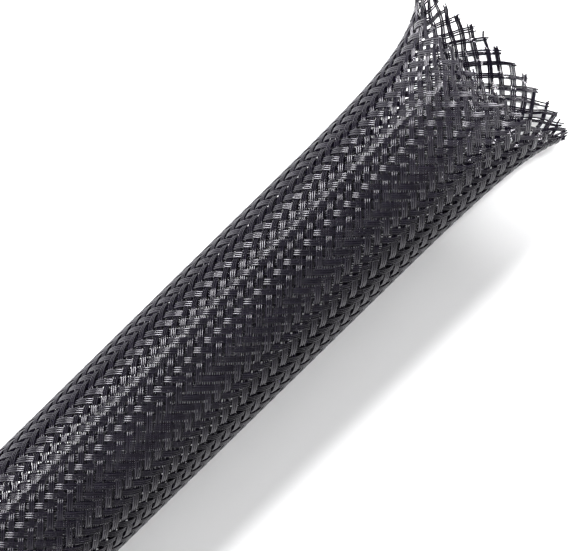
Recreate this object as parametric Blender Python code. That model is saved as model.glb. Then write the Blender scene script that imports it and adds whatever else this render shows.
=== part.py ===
"""Braided cable sleeve: a cut length of open monofilament braid with one end opened out.

The sleeve lies on the floor along X with its mouth toward +X.
Lengths are in metres, +Z is up, and the floor is z = 0.
"""

import math

import bmesh
import bpy

# The braid
LENGTH = 0.3048                 # one foot, as sleeving is cut to order
TUBE_RADIUS = 0.011
FILAMENT = 0.00025
FILAMENTS_PER_TOW = 3
TOWS_EACH_WAY = 36
WALL = 2.4 * FILAMENT           # two tows where they cross, with a little slack
TOW_WIDTH = (FILAMENTS_PER_TOW + 0.2) * FILAMENT
BRAID_ANGLE = math.radians(43.6)

# The opened-out end
BELL_LENGTH = 0.030             # along the side that rests on the floor
BELL_SCALE = 0.0065             # the bell widens e-fold in this length
MOUTH_RADIUS = 0.01485
MOUTH_BRAID_ANGLE = math.radians(47.0)
MOUTH_SLANT = 0.0030            # how much sooner the upper side ends
OPEN_ROWS = 9                   # rows of crossings with open gaps between them
STUB = 0.0008                   # tow ends past the last row of crossings
BELL_RINGS = 5                  # rings that shape the closed part of the bell

# Plain openings that stand for the gaps of the closely woven stretch
OPENINGS_AROUND = 12
OPENING_ROWS = 12
OPENING_HALF_WIDTH = 2          # in columns, so an opening cuts into the facets on its two sides
FIRST_OPENING = 4               # its column; the facet that the sleeve rests on stays whole

# The round section has one flat facet for each tow, and two columns to a facet
COLUMNS = 2 * TOWS_EACH_WAY
COLUMN_TURN = 2.0 * math.pi / COLUMNS
FACET_SHARE = math.cos(COLUMN_TURN)

CUT_END = -LENGTH / 2.0
MOUTH_END = LENGTH / 2.0
BELL_START = MOUTH_END - BELL_LENGTH


def clear_scene():
    for old in list(bpy.data.objects):
        bpy.data.objects.remove(old, do_unlink=True)


def along_bell(station):
    """0 where the bell begins, 1 at its rim, evenly between."""
    return max(0.0, (station - BELL_START) / BELL_LENGTH)


def flare_share(station):
    """0 on the even tube, 1 at the rim, growing faster and faster."""
    least = math.exp(-BELL_LENGTH / BELL_SCALE)
    grown = math.exp((station - MOUTH_END) / BELL_SCALE)
    return max(0.0, (grown - least) / (1.0 - least))


def outer_radius(station):
    return TUBE_RADIUS + (MOUTH_RADIUS - TUBE_RADIUS) * flare_share(station)


def braid_angle(station):
    return BRAID_ANGLE + (MOUTH_BRAID_ANGLE - BRAID_ANGLE) * flare_share(station)


def skin_point(column, station, depth):
    """A point of the wall, depth below the outer skin.

    Facet edges have even columns, and the sleeve rests on the facet round column 1.
    station is measured along the side that rests on the floor.
    """
    apothem = outer_radius(station) * FACET_SHARE
    off_middle = (2 * math.floor(column / 2.0) + 1 - column) * COLUMN_TURN
    reach = (apothem - depth) / math.cos(off_middle)
    angle = -math.pi / 2.0 + (column - 1) * COLUMN_TURN
    height_share = (1.0 + math.sin(angle)) / 2.0
    x = station - along_bell(station) * height_share * MOUTH_SLANT
    return (x, reach * math.cos(angle), apothem + reach * math.sin(angle))


def row_step(station):
    """Distance along the sleeve from one row of crossings to the next."""
    slope = (MOUTH_RADIUS - TUBE_RADIUS) * flare_share(station) / BELL_SCALE
    along_skin = outer_radius(station) * COLUMN_TURN / math.tan(braid_angle(station))
    return along_skin / math.hypot(1.0, slope)


def crossing_rows():
    """Stations of the open rows, from the closed wall out to the mouth."""
    rows = [MOUTH_END - STUB]
    while len(rows) < OPEN_ROWS:
        rows.append(rows[-1] - row_step(rows[-1]))
    rows.reverse()
    return rows


def pad_corners(column, station):
    """The four corners of the patch where two tows cross."""
    half_width = TOW_WIDTH / 2.0
    angle = braid_angle(station)
    fore = half_width / math.sin(angle)
    turn = half_width / math.cos(angle) / outer_radius(station) / COLUMN_TURN
    return {
        "left": (column - turn, station),
        "right": (column + turn, station),
        "fore": (column, station + fore),
        "aft": (column, station - fore),
    }


def between(first, second, share):
    return tuple(a + (b - a) * share for a, b in zip(first, second))


def opening_reach(row_pitch):
    """Half an opening's length, so that as much of the wall is open as between the tows."""
    tow_spacing = 2.0 * TUBE_RADIUS * COLUMN_TURN * math.cos(BRAID_ANGLE)
    open_share = (1.0 - TOW_WIDTH / tow_spacing) ** 2
    pitch_around = COLUMNS / OPENINGS_AROUND
    return open_share * pitch_around * row_pitch / (2.0 * OPENING_HALF_WIDTH)


def opened_wall():
    """Facets of the even tube, with a grid of diamond openings."""
    row_pitch = (BELL_START - CUT_END) / OPENING_ROWS
    rows = [CUT_END + (j + 0.5) * row_pitch for j in range(OPENING_ROWS)]
    pitch_around = COLUMNS // OPENINGS_AROUND
    reaches = [0.0] * COLUMNS
    reaches[FIRST_OPENING::pitch_around] = [opening_reach(row_pitch)] * OPENINGS_AROUND
    faces = []
    for m in range(0, COLUMNS, 2):
        left = reaches[m]
        right = reaches[(m + 2) % COLUMNS]
        starts = [(CUT_END, CUT_END)] + [(row + left, row + right) for row in rows]
        ends = [(row - left, row - right) for row in rows] + [(BELL_START, BELL_START)]
        for start, end in zip(starts, ends):
            faces.append([(m, start[0]), (m + 2, start[1]), (m + 2, end[1]), (m, end[0])])
    return faces


def closed_wall(stations):
    """Facets of the bell's closely woven part, whose last ring has every column."""
    faces = []
    for near, far in zip(stations[:-1], stations[1:]):
        for m in range(0, COLUMNS, 2):
            far_edge = [(m + 2, far), (m, far)]
            if far == stations[-1]:
                far_edge.insert(1, (m + 1, far))
            faces.append([(m, near), (m + 2, near)] + far_edge)
    return faces


def joining_band(base, first_row):
    """Wall between the last closed ring and the first row of crossings."""
    faces = []
    for m in range(1, COLUMNS, 2):
        pad = pad_corners(m, first_row)
        before = pad_corners(m - 1, base)["fore"]
        after = pad_corners(m + 1, base)["fore"]
        ring_before = (m - 1, base)
        ring_here = (m, base)
        ring_after = (m + 1, base)
        faces.append([ring_before, ring_here, before])
        faces.append([ring_here, ring_after, after])
        faces.append([ring_here, after, pad["right"], pad["aft"]])
        faces.append([ring_here, pad["aft"], pad["left"], before])
    return faces


def crossing_patches(column, station):
    """The patch where two tows cross, in two halves that meet on a facet's edge or middle."""
    pad = pad_corners(column, station)
    return [
        [pad["aft"], pad["right"], pad["fore"]],
        [pad["aft"], pad["fore"], pad["left"]],
    ]


def tow_bars(column, station, next_station, share):
    """The two tows that run on from a crossing; share 1 reaches the next row."""
    pad = pad_corners(column, station)
    ahead = pad_corners(column + 1, next_station)
    behind = pad_corners(column - 1, next_station)
    faces = []
    for low, high, low_end, high_end in (
            (pad["right"], pad["fore"], ahead["aft"], ahead["left"]),
            (pad["fore"], pad["left"], behind["right"], behind["aft"])):
        if share < 1.0:
            low_end = between(low, low_end, share)
            high_end = between(high, high_end, share)
        faces.append([low, low_end, high_end, high])
    return faces


def sleeve_sheet():
    """Every face of the sleeve as corners on its skin, turning outward."""
    rows = crossing_rows()
    base = rows[0] - row_step(rows[0])
    stations = []
    for ring in range(BELL_RINGS):
        stations.append(BELL_START + (base - BELL_START) * ring / (BELL_RINGS - 1))
    faces = opened_wall()
    faces += closed_wall(stations)
    faces += joining_band(base, rows[0])
    for k, station in enumerate(rows):
        last = k == len(rows) - 1
        next_station = station + row_step(station) if last else rows[k + 1]
        fork = pad_corners(0, station)["fore"][1]
        share = (MOUTH_END - fork) / (next_station - fork) if last else 1.0
        parity = (k + 1) % 2
        for m in range(parity, COLUMNS + parity, 2):
            faces += crossing_patches(m, station)
            faces += tow_bars(m, station, next_station, share)
    return faces


def key_of(corner):
    column, station = corner
    turn = round(column % COLUMNS, 6)
    if turn == COLUMNS:
        turn = 0.0
    return (turn, round(station, 9))


def thicken(sheet):
    """Give the sheet its wall thickness, with a side wall along every open edge."""
    outer = {}
    inner = {}
    points = []
    for face in sheet:
        for corner in face:
            key = key_of(corner)
            if key in outer:
                continue
            outer[key] = len(points)
            points.append(skin_point(key[0], key[1], 0.0))
            inner[key] = len(points)
            points.append(skin_point(key[0], key[1], WALL))
    faces = []
    edges = set()
    for face in sheet:
        keys = [key_of(corner) for corner in face]
        faces.append([outer[key] for key in keys])
        faces.append([inner[key] for key in reversed(keys)])
        for start, end in zip(keys, keys[1:] + keys[:1]):
            edges.add((start, end))
    for start, end in sorted(edges):
        if (end, start) not in edges:
            faces.append([outer[end], outer[start], inner[start], inner[end]])
    return points, faces


def braid_material(name):
    material = bpy.data.materials.new(name)
    material.use_nodes = True
    shader = material.node_tree.nodes["Principled BSDF"]
    shader.inputs["Base Color"].default_value = (0.018, 0.017, 0.022, 1.0)
    shader.inputs["Roughness"].default_value = 0.38
    return material


def make_sleeve():
    points, faces = thicken(sleeve_sheet())
    mesh = bpy.data.meshes.new("braided_sleeve")
    mesh.from_pydata(points, [], faces)
    shape = bmesh.new()
    shape.from_mesh(mesh)
    bent = [face for face in shape.faces if face.calc_center_median().x > BELL_START - 0.001]
    bmesh.ops.triangulate(shape, faces=bent)
    for face in shape.faces:
        face.smooth = True
    shape.to_mesh(mesh)
    shape.free()
    mesh.set_sharp_from_angle(angle=math.radians(30.0))
    sleeve = bpy.data.objects.new("braided_sleeve", mesh)
    bpy.context.scene.collection.objects.link(sleeve)
    mesh.materials.append(braid_material("braided_sleeve"))
    return sleeve


clear_scene()
make_sleeve()
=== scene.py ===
"""Looks of the braided cable sleeve.

The braid is built strand by strand: 36 tows run round the sleeve each way, three
monofilaments side by side in each, woven over two and under two. The even tube
opens into a bell mouth at +X, where the tows spread and end in a frayed rim.
Lengths are in metres and angles in radians, in the frame of the CAD model.
"""

import math

import bpy
import numpy as np
from mathutils import Matrix, Vector


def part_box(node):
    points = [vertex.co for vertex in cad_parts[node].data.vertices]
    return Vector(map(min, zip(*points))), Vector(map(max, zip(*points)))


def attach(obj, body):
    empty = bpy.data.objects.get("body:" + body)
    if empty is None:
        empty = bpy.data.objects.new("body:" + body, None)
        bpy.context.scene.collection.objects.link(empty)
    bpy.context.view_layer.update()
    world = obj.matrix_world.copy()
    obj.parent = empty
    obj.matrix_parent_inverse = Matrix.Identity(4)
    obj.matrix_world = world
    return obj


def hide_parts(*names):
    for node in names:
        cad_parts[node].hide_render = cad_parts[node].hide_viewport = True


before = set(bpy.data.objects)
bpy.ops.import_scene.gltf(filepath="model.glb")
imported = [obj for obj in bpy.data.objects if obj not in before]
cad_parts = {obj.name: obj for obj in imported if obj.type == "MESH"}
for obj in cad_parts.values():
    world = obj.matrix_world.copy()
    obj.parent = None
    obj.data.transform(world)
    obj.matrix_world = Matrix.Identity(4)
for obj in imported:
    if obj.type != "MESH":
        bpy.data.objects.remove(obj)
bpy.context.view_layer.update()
sleeve_low, sleeve_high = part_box("braided_sleeve")

# The sleeve's form, the same as the CAD's
CUT_END = sleeve_low[0]
MOUTH_END = sleeve_high[0]
MOUTH_RADIUS = (sleeve_high[1] - sleeve_low[1]) / 2.0
TUBE_RADIUS = 0.011
BELL_LENGTH = 0.030
BELL_SCALE = 0.0065             # the bell widens e-fold in this length
MOUTH_SLANT = 0.0030            # how much sooner the upper side ends
MOUTH_SKEW = 0.0004             # how much sooner the +Y side ends
MOUTH_LEAN = 0.0010             # the mouth leans a little toward +Y
BELL_START = MOUTH_END - BELL_LENGTH

# The braid
FILAMENT = 0.00025
TOWS_EACH_WAY = 36
STRANDS = (-1, 0, 1)
WALL = 2.4 * FILAMENT
TOW_LIFT = 0.80 * FILAMENT      # how far a tow arches out over others, or in under them
STRAND_PITCH = 1.25 * FILAMENT
BRAID_ANGLE = math.radians(43.6)
MOUTH_BRAID_ANGLE = math.radians(47.0)
BOTTOM_SPREAD = 0.12            # how much wider apart the tows stand along the mouth's bottom
CROSSING_TURN = math.pi / TOWS_EACH_WAY
FIRST_ROW_ANGLE = math.radians(3.75)
STATION_SAMPLES = 20001
STUB = 0.0008                   # tow ends past the last row of crossings
LAST_ROW = MOUTH_END - STUB
CUT_INSET = 0.0003              # the strands' square ends stay inside the cut by this much
ARCH_FLATNESS = 0.070           # above 0 a float is flatter along its middle than a cosine

# How finely each stretch of the sleeve is drawn: its end toward the mouth, the sides of a
# strand, its points from one crossing to the next, and the pieces it is split into
NEAR_MOUTH = MOUTH_END - 0.020
FAR_PART = MOUTH_END - 0.105
STRETCHES = (
    ("far_strands", CUT_END + CUT_INSET, FAR_PART, 4, 1, 2),
    ("tube_strands", FAR_PART, NEAR_MOUTH, 6, 2, 3),
    ("mouth_strands", NEAR_MOUTH, LAST_ROW, 6, 3, 1),
)

# Irregularity, growing toward the rim
SEED = 20
WAVES = 3                       # waves that add up to one wandering line
WAVES_SUM = 1.7                 # their sum is about this many times one of them
TOW_SWAY = math.radians(0.22)   # how far a whole tow wanders round the sleeve
RIM_SWAY = 2.5                  # how many times more it wanders at the rim
STRAND_DRIFT = 0.000012         # how far a strand wanders inside its tow
STRAND_STRAY = 0.00004          # how far a strand leaves its place at the rim
MOST_FLARE = 1.2                # strand ends past the rim count as flared up to this much
MOST_BUNCHED = 1.7              # the strands of a tow draw together at the rim, up to this much
BUNCH_NARROWS = 0.42            # the share of the strands' spacing that goes at bunching 1
BUNCH_LIFT = 0.7 * FILAMENT     # how far the middle strand then stands out over the other two

# Strand ends past the last row, counted in crossings where they say how far they reach
TOW_TIP = 0.32
TOW_TIP_SPREAD = 0.10
TIP_SPREAD = 0.07
LOOSE_BELOW = 0.06              # 6 strands in 100 are loose and reach further
LOOSE_REACH = 0.35
SHORT_ABOVE = 0.88              # 12 strands in 100 are cut short
SHORT_BY = 0.9
BEND = 0.00008                  # sideways, for one crossing past the last row
LOOSE_BEND = 0.00035
CURL = 0.00008                  # outward or inward, in the same way
LOOSE_CURL = 0.00030
MEAN_CURL = 0.00003
WEAVE_FADES = 0.5               # how much flatter the weave gets for each crossing past the row
LEAST_WEAVE = 0.3

# Material
STRAND_COLORS = ((0.0020, 0.0013, 0.0045, 1.0), (0.0050, 0.0037, 0.0090, 1.0))
STRAND_ROUGHNESS = (0.05, 0.11)
FLOOR_COLORS = ((0.93, 0.93, 0.94, 1.0), (0.96, 0.96, 0.96, 1.0))
FLOOR_HALF = 6.0

# Light: a softbox on the photo's left, a narrow fill into the mouth, and a surround
# that is brightest low down beyond the sleeve's cut end
KEY_DIRECTION = Vector((-0.171, 0.686, 0.707))
KEY_DISTANCE = 1.2
KEY_SIZE = 0.45
KEY_POWER = 38.0
SKY_LEVELS = ((0.0, 0.9), (0.35, 0.5), (0.7, 0.30), (1.0, 0.66))  # by height, 1 is overhead
FAR_END = 5.5                   # how much brighter it is low down beyond the sleeve's cut end
FILL_PLACE = Vector((MOUTH_END + 0.062, 0.0, 0.260))
FILL_AIM = Vector((MOUTH_END + 0.036, 0.0, 0.0))
FILL_CONE = math.radians(20.0)  # narrow, so that it reaches the rim and not the tube
FILL_BLEND = 0.2
FILL_SIZE = 0.02
FILL_POWER = 7.5

# Camera: a long lens, looking down and a little into the mouth
PIXEL = 0.00014093              # real size of one pixel at the sleeve
IMAGE_WIDTH = 569
CAMERA_TILT = math.radians(6.0)
AXIS_TURN = math.radians(44.4)  # how far the sleeve turns up to the right in the photo
CAMERA_DISTANCE = 1.0
LOOK_AT_X = 0.1087
LOOK_AT_Y = 0.00036


def along_bell(station):
    """0 where the bell begins, 1 at its rim, evenly between."""
    return np.clip((station - BELL_START) / BELL_LENGTH, 0.0, None)


def flare_share(station):
    """0 on the even tube, 1 at the rim, growing faster and faster."""
    least = math.exp(-BELL_LENGTH / BELL_SCALE)
    grown = np.exp((station - MOUTH_END) / BELL_SCALE)
    return np.clip((grown - least) / (1.0 - least), 0.0, None)


def outer_radius(station):
    return TUBE_RADIUS + (MOUTH_RADIUS - TUBE_RADIUS) * flare_share(station)


def flare_slope(station):
    return (MOUTH_RADIUS - TUBE_RADIUS) * flare_share(station) / BELL_SCALE


def braid_angle(station):
    share = np.clip(flare_share(station), 0.0, 1.0)
    return BRAID_ANGLE + (MOUTH_BRAID_ANGLE - BRAID_ANGLE) * share


def count_crossings():
    """Stations along the sleeve, and how many crossings a tow has made at each."""
    stations = np.linspace(CUT_END - 0.002, MOUTH_END + 0.006, STATION_SAMPLES)
    radius = outer_radius(stations) - WALL / 2.0
    turn_rate = np.tan(braid_angle(stations)) / radius
    turn_rate *= np.sqrt(1.0 + flare_slope(stations) ** 2)
    steps = np.diff(stations) * (turn_rate[1:] + turn_rate[:-1]) / 2.0
    counts = np.concatenate([[0.0], np.cumsum(steps)]) / CROSSING_TURN
    counts -= np.interp(LAST_ROW, stations, counts)
    counts += round(counts[-1] - counts[0])
    return stations, counts


STATIONS, COUNTS = count_crossings()


def station_at(count):
    return np.interp(count, COUNTS, STATIONS)


def count_at(station):
    return np.interp(station, STATIONS, COUNTS)


def weave_height(crossings):
    """+1 at the ridge of a tow over two crossings, -1 in the trough under the next two."""
    phase = (crossings - 0.5) * math.pi / 2.0
    return (np.cos(phase) - ARCH_FLATNESS * np.cos(3.0 * phase)) / (1.0 - ARCH_FLATNESS)


def sleeve_point(angle, station, lift):
    """A point lift above the middle of the braid's wall."""
    slope = np.arctan(flare_slope(station))
    radius = outer_radius(station) - WALL / 2.0 + lift * np.cos(slope)
    shortfall = MOUTH_SLANT * (1.0 + np.sin(angle)) / 2.0 + MOUTH_SKEW * np.cos(angle)
    x = station - along_bell(station) * shortfall - lift * np.sin(slope)
    y = radius * np.cos(angle) + MOUTH_LEAN * flare_share(station)
    z = outer_radius(station) + radius * np.sin(angle)
    return np.stack([x, y, z], axis=-1)


def wobble(counts, dice, size, shortest=6.0, longest=40.0):
    """Slow, smooth wandering along a strand."""
    total = np.zeros_like(counts)
    for _ in range(WAVES):
        period = dice.uniform(shortest, longest)
        total += dice.normal(0.0, size / WAVES_SUM) * np.sin(
            2.0 * math.pi * counts / period + dice.uniform(0.0, 2.0 * math.pi))
    return total


def strand_counts(start, end, steps):
    """Where along a strand its points are, in crossings."""
    step = 1.0 / steps
    rows = np.arange(math.floor(start), math.ceil(end), step)
    rows = rows[(rows > start + step / 4.0) & (rows < end - step / 4.0)]
    return np.concatenate([[start], rows, [end]])


def strand_path(way, tow, strand, counts, habits):
    """Centre line of one monofilament, and the outward direction along it."""
    station = station_at(counts)
    share = np.clip(flare_share(station), 0.0, MOST_FLARE)
    last_row = count_at(LAST_ROW)
    past = np.clip(counts - last_row, 0.0, None)
    bunched = habits["bunched"] * share ** 2
    offset = strand * STRAND_PITCH * (1.0 - BUNCH_NARROWS * bunched)
    offset = offset + habits["stray"] * share + habits["bend"] * past ** 2
    offset = offset + habits["drift"](counts)
    angle_way = braid_angle(station)
    radius = outer_radius(station)
    angle = FIRST_ROW_ANGLE + 2.0 * CROSSING_TURN * tow + way * counts * CROSSING_TURN
    angle = angle + habits["sway"](counts) * (1.0 + RIM_SWAY * share)
    angle = angle + BOTTOM_SPREAD * share * np.cos(angle)
    angle = angle + np.cos(angle_way) * offset / radius
    shifted = station - way * np.sin(angle_way) * offset
    crossings = 2.0 * tow + way * counts
    lift = way * TOW_LIFT * weave_height(crossings)
    lift = lift * np.clip(1.0 - WEAVE_FADES * past, LEAST_WEAVE, 1.0) + habits["curl"] * past ** 2
    lift = lift + (0.5 - abs(strand)) * BUNCH_LIFT * bunched
    points = sleeve_point(angle, shifted, lift)
    outward = sleeve_point(angle, shifted, lift + FILAMENT) - points
    return points, outward


def unit(vectors):
    return vectors / np.linalg.norm(vectors, axis=-1, keepdims=True)


def round_strand(points, outward, sides):
    """Corners and four-sided faces of a round strand along points, with flat ends.

    A section with other than six sides gets the area of the six-sided one, so that all
    stretches of the braid let equally much light through.
    """
    growth = 6.0 * math.sin(2.0 * math.pi / 6.0) / (sides * math.sin(2.0 * math.pi / sides))
    reach = FILAMENT / 2.0 * math.sqrt(growth)
    tangents = unit(np.gradient(points, axis=0))
    across = unit(np.cross(tangents, outward))
    upward = np.cross(across, tangents)
    turns = 2.0 * math.pi * (np.arange(sides) + 0.5) / sides
    ring = across[:, None, :] * np.cos(turns)[None, :, None]
    ring = ring + upward[:, None, :] * np.sin(turns)[None, :, None]
    corners = points[:, None, :] + ring * reach
    rows = len(points)
    start = np.arange(rows - 1)[:, None] * sides + np.arange(sides)[None, :]
    turned = np.arange(rows - 1)[:, None] * sides + (np.arange(sides)[None, :] + 1) % sides
    faces = np.stack([start, turned, turned + sides, start + sides], axis=-1).reshape(-1, 4)
    corners = corners.reshape(-1, 3)
    caps = []
    for ring_corners, order in ((corners[:sides], -1), (corners[-sides:], 1)):
        first = len(corners)
        corners = np.concatenate([corners, ring_corners[::order]])
        for k in range(1, sides - 1, 2):
            caps.append([first, first + k, first + k + 1, first + (k + 2) % sides])
    return corners, np.concatenate([faces, np.array(caps)])


def strand_habits(dice):
    """What sets one strand apart from the next."""
    stray_share = dice.random()
    loose = stray_share < LOOSE_BELOW
    short = stray_share > SHORT_ABOVE
    drift_seed = int(dice.integers(1 << 30))
    return {
        "tip": (dice.normal(0.0, TIP_SPREAD) + (LOOSE_REACH if loose else 0.0)
                - (SHORT_BY if short else 0.0)),
        "stray": dice.normal(0.0, STRAND_STRAY),
        "bend": dice.normal(0.0, LOOSE_BEND if loose else BEND),
        "curl": dice.normal(MEAN_CURL, LOOSE_CURL if loose else CURL),
        "drift": lambda counts: wobble(counts, np.random.default_rng(drift_seed), STRAND_DRIFT),
        "tone": dice.random(),
    }


def braid_strands():
    """Every strand of the braid: which way it runs, its tow, its place in it and its habits."""
    dice = np.random.default_rng(SEED)
    strands = []
    for way in (1, -1):
        for tow in range(TOWS_EACH_WAY):
            sway_seed = int(dice.integers(1 << 30))
            tow_tip = TOW_TIP + dice.normal(0.0, TOW_TIP_SPREAD)
            bunched = dice.uniform(0.0, MOST_BUNCHED)
            for strand in STRANDS:
                habits = strand_habits(dice)
                habits["tip"] += tow_tip
                habits["bunched"] = bunched
                habits["sway"] = lambda counts, seed=sway_seed: wobble(
                    counts, np.random.default_rng(seed), TOW_SWAY)
                strands.append((way, tow, strand, habits))
    return strands


def make_piece(name, strands, start, end, sides, steps, material):
    """One mesh that holds a stretch of several strands."""
    corners = []
    faces = []
    tones = []
    count = 0
    for way, tow, strand, habits in strands:
        end_count = count_at(end)
        if end == LAST_ROW:
            end_count += habits["tip"]
        counts = strand_counts(count_at(start), end_count, steps)
        points, outward = strand_path(way, tow, strand, counts, habits)
        new_corners, new_faces = round_strand(points, outward, sides)
        corners.append(new_corners)
        faces.append(new_faces + count)
        tones.append(np.full(len(new_corners), habits["tone"]))
        count += len(new_corners)
    mesh = bpy.data.meshes.new(name)
    mesh.from_pydata(np.concatenate(corners).tolist(), [], np.concatenate(faces).tolist())
    mesh.polygons.foreach_set("use_smooth", np.ones(len(mesh.polygons), dtype=bool))
    tone = mesh.attributes.new("strand_tone", "FLOAT", "POINT")
    tone.data.foreach_set("value", np.concatenate(tones))
    mesh.materials.append(material)
    piece = bpy.data.objects.new(name, mesh)
    bpy.context.scene.collection.objects.link(piece)
    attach(piece, "root")
    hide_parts("braided_sleeve")
    return piece


def monofilament_material():
    """Black extruded monofilament: semi-gloss, each strand a little different from the next."""
    material = bpy.data.materials.new("black_monofilament")
    material.use_nodes = True
    nodes = material.node_tree.nodes
    links = material.node_tree.links
    shader = nodes["Principled BSDF"]
    shader.inputs["IOR"].default_value = 1.57
    shader.inputs["Specular IOR Level"].default_value = 0.41
    shader.inputs["Specular Tint"].default_value = (0.97, 0.95, 1.0, 1.0)
    place = nodes.new("ShaderNodeTexCoord")
    strand = nodes.new("ShaderNodeAttribute")
    strand.attribute_name = "strand_tone"
    tone = nodes.new("ShaderNodeValToRGB")
    for element, color in zip(tone.color_ramp.elements, STRAND_COLORS):
        element.color = color
    links.new(strand.outputs["Fac"], tone.inputs["Fac"])
    links.new(tone.outputs["Color"], shader.inputs["Base Color"])
    patches = nodes.new("ShaderNodeTexNoise")
    patches.inputs["Scale"].default_value = 700.0
    patches.inputs["Detail"].default_value = 3.0
    links.new(place.outputs["Object"], patches.inputs["Vector"])
    rough = nodes.new("ShaderNodeMapRange")
    rough.inputs["To Min"].default_value = STRAND_ROUGHNESS[0]
    rough.inputs["To Max"].default_value = STRAND_ROUGHNESS[1]
    links.new(patches.outputs["Fac"], rough.inputs["Value"])
    links.new(rough.outputs["Result"], shader.inputs["Roughness"])
    return material


def floor_material():
    material = bpy.data.materials.new("pale_floor")
    material.use_nodes = True
    nodes = material.node_tree.nodes
    shader = nodes["Principled BSDF"]
    shader.inputs["Roughness"].default_value = 0.7
    shader.inputs["Specular IOR Level"].default_value = 0.2
    mottle = nodes.new("ShaderNodeTexNoise")
    mottle.inputs["Scale"].default_value = 3.0
    tint = nodes.new("ShaderNodeValToRGB")
    for element, color in zip(tint.color_ramp.elements, FLOOR_COLORS):
        element.color = color
    material.node_tree.links.new(mottle.outputs["Fac"], tint.inputs["Fac"])
    material.node_tree.links.new(tint.outputs["Color"], shader.inputs["Base Color"])
    return material


def make_floor():
    half = FLOOR_HALF
    mesh = bpy.data.meshes.new("floor")
    corners = [(-half, -half, 0.0), (half, -half, 0.0), (half, half, 0.0), (-half, half, 0.0)]
    mesh.from_pydata(corners, [], [(0, 1, 2, 3)])
    mesh.materials.append(floor_material())
    floor = bpy.data.objects.new("floor", mesh)
    bpy.context.scene.collection.objects.link(floor)


def make_lamp(name, kind, place, aim, power):
    lamp = bpy.data.lights.new(name, kind)
    lamp.energy = power
    fitting = bpy.data.objects.new(name, lamp)
    bpy.context.scene.collection.objects.link(fitting)
    fitting.location = place
    fitting.rotation_euler = (place - aim).to_track_quat("Z", "Y").to_euler()
    return lamp


def make_lights():
    middle = Vector((LOOK_AT_X, 0.0, TUBE_RADIUS))
    key = make_lamp("key", "AREA", middle + KEY_DIRECTION * KEY_DISTANCE, middle, KEY_POWER)
    key.shape = "SQUARE"
    key.size = KEY_SIZE
    fill = make_lamp("mouth_fill", "SPOT", FILL_PLACE, FILL_AIM, FILL_POWER)
    fill.spot_size = FILL_CONE
    fill.spot_blend = FILL_BLEND
    fill.shadow_soft_size = FILL_SIZE


def sum_node(nodes, links, operation, *values):
    """A Math node fed with numbers or with other nodes' outputs."""
    node = nodes.new("ShaderNodeMath")
    node.operation = operation
    for socket, value in zip(node.inputs, values):
        if isinstance(value, float):
            socket.default_value = value
        else:
            links.new(value, socket)
    return node.outputs["Value"]


def make_surround():
    world = bpy.data.worlds.new("surround")
    bpy.context.scene.world = world
    world.use_nodes = True
    nodes = world.node_tree.nodes
    links = world.node_tree.links
    sky = nodes["Background"]
    sky.inputs["Color"].default_value = (1.0, 1.0, 1.0, 1.0)
    direction = nodes.new("ShaderNodeTexCoord")
    parts = nodes.new("ShaderNodeSeparateXYZ")
    links.new(direction.outputs["Generated"], parts.inputs["Vector"])
    levels = nodes.new("ShaderNodeValToRGB")
    brightest = max(level for _, level in SKY_LEVELS)
    elements = levels.color_ramp.elements
    while len(elements) < len(SKY_LEVELS):
        elements.new(0.5)
    for element, (height, level) in zip(elements, SKY_LEVELS):
        element.position = height
        element.color = (level / brightest, level / brightest, level / brightest, 1.0)
    links.new(parts.outputs["Z"], levels.inputs["Fac"])
    behind = sum_node(nodes, links, "MINIMUM", parts.outputs["X"], 0.0)
    squared = sum_node(nodes, links, "MULTIPLY", behind, behind)
    ends = sum_node(nodes, links, "MULTIPLY", squared, squared)
    around = sum_node(nodes, links, "MULTIPLY", levels.outputs["Color"], brightest)
    strength = sum_node(nodes, links, "MULTIPLY_ADD", ends, FAR_END, around)
    links.new(strength, sky.inputs["Strength"])


def make_camera():
    lens = bpy.data.cameras.new("camera")
    lens.sensor_width = 36.0
    lens.lens = lens.sensor_width * CAMERA_DISTANCE / (PIXEL * IMAGE_WIDTH)
    lens.clip_end = 50.0
    camera = bpy.data.objects.new("camera", lens)
    bpy.context.scene.collection.objects.link(camera)
    back = Vector((math.sin(CAMERA_TILT), 0.0, math.cos(CAMERA_TILT)))
    along = Vector((math.cos(CAMERA_TILT), 0.0, -math.sin(CAMERA_TILT)))
    side = Vector((0.0, 1.0, 0.0))
    right = along * math.cos(AXIS_TURN) - side * math.sin(AXIS_TURN)
    up = along * math.sin(AXIS_TURN) + side * math.cos(AXIS_TURN)
    turn = Matrix((right, up, back)).transposed().to_4x4()
    place = Vector((LOOK_AT_X, LOOK_AT_Y, TUBE_RADIUS)) + back * CAMERA_DISTANCE
    camera.matrix_world = Matrix.Translation(place) @ turn
    bpy.context.scene.camera = camera


def make_braid():
    material = monofilament_material()
    strands = braid_strands()
    for name, start, end, sides, steps, pieces in STRETCHES:
        per_piece = len(strands) // pieces
        for number in range(pieces):
            share = strands[number * per_piece:(number + 1) * per_piece]
            make_piece(f"{name}_{number + 1}", share, start, end, sides, steps, material)


make_camera()
make_lights()
make_surround()
make_floor()
make_braid()
bpy.context.scene.view_settings.view_transform = "Standard"
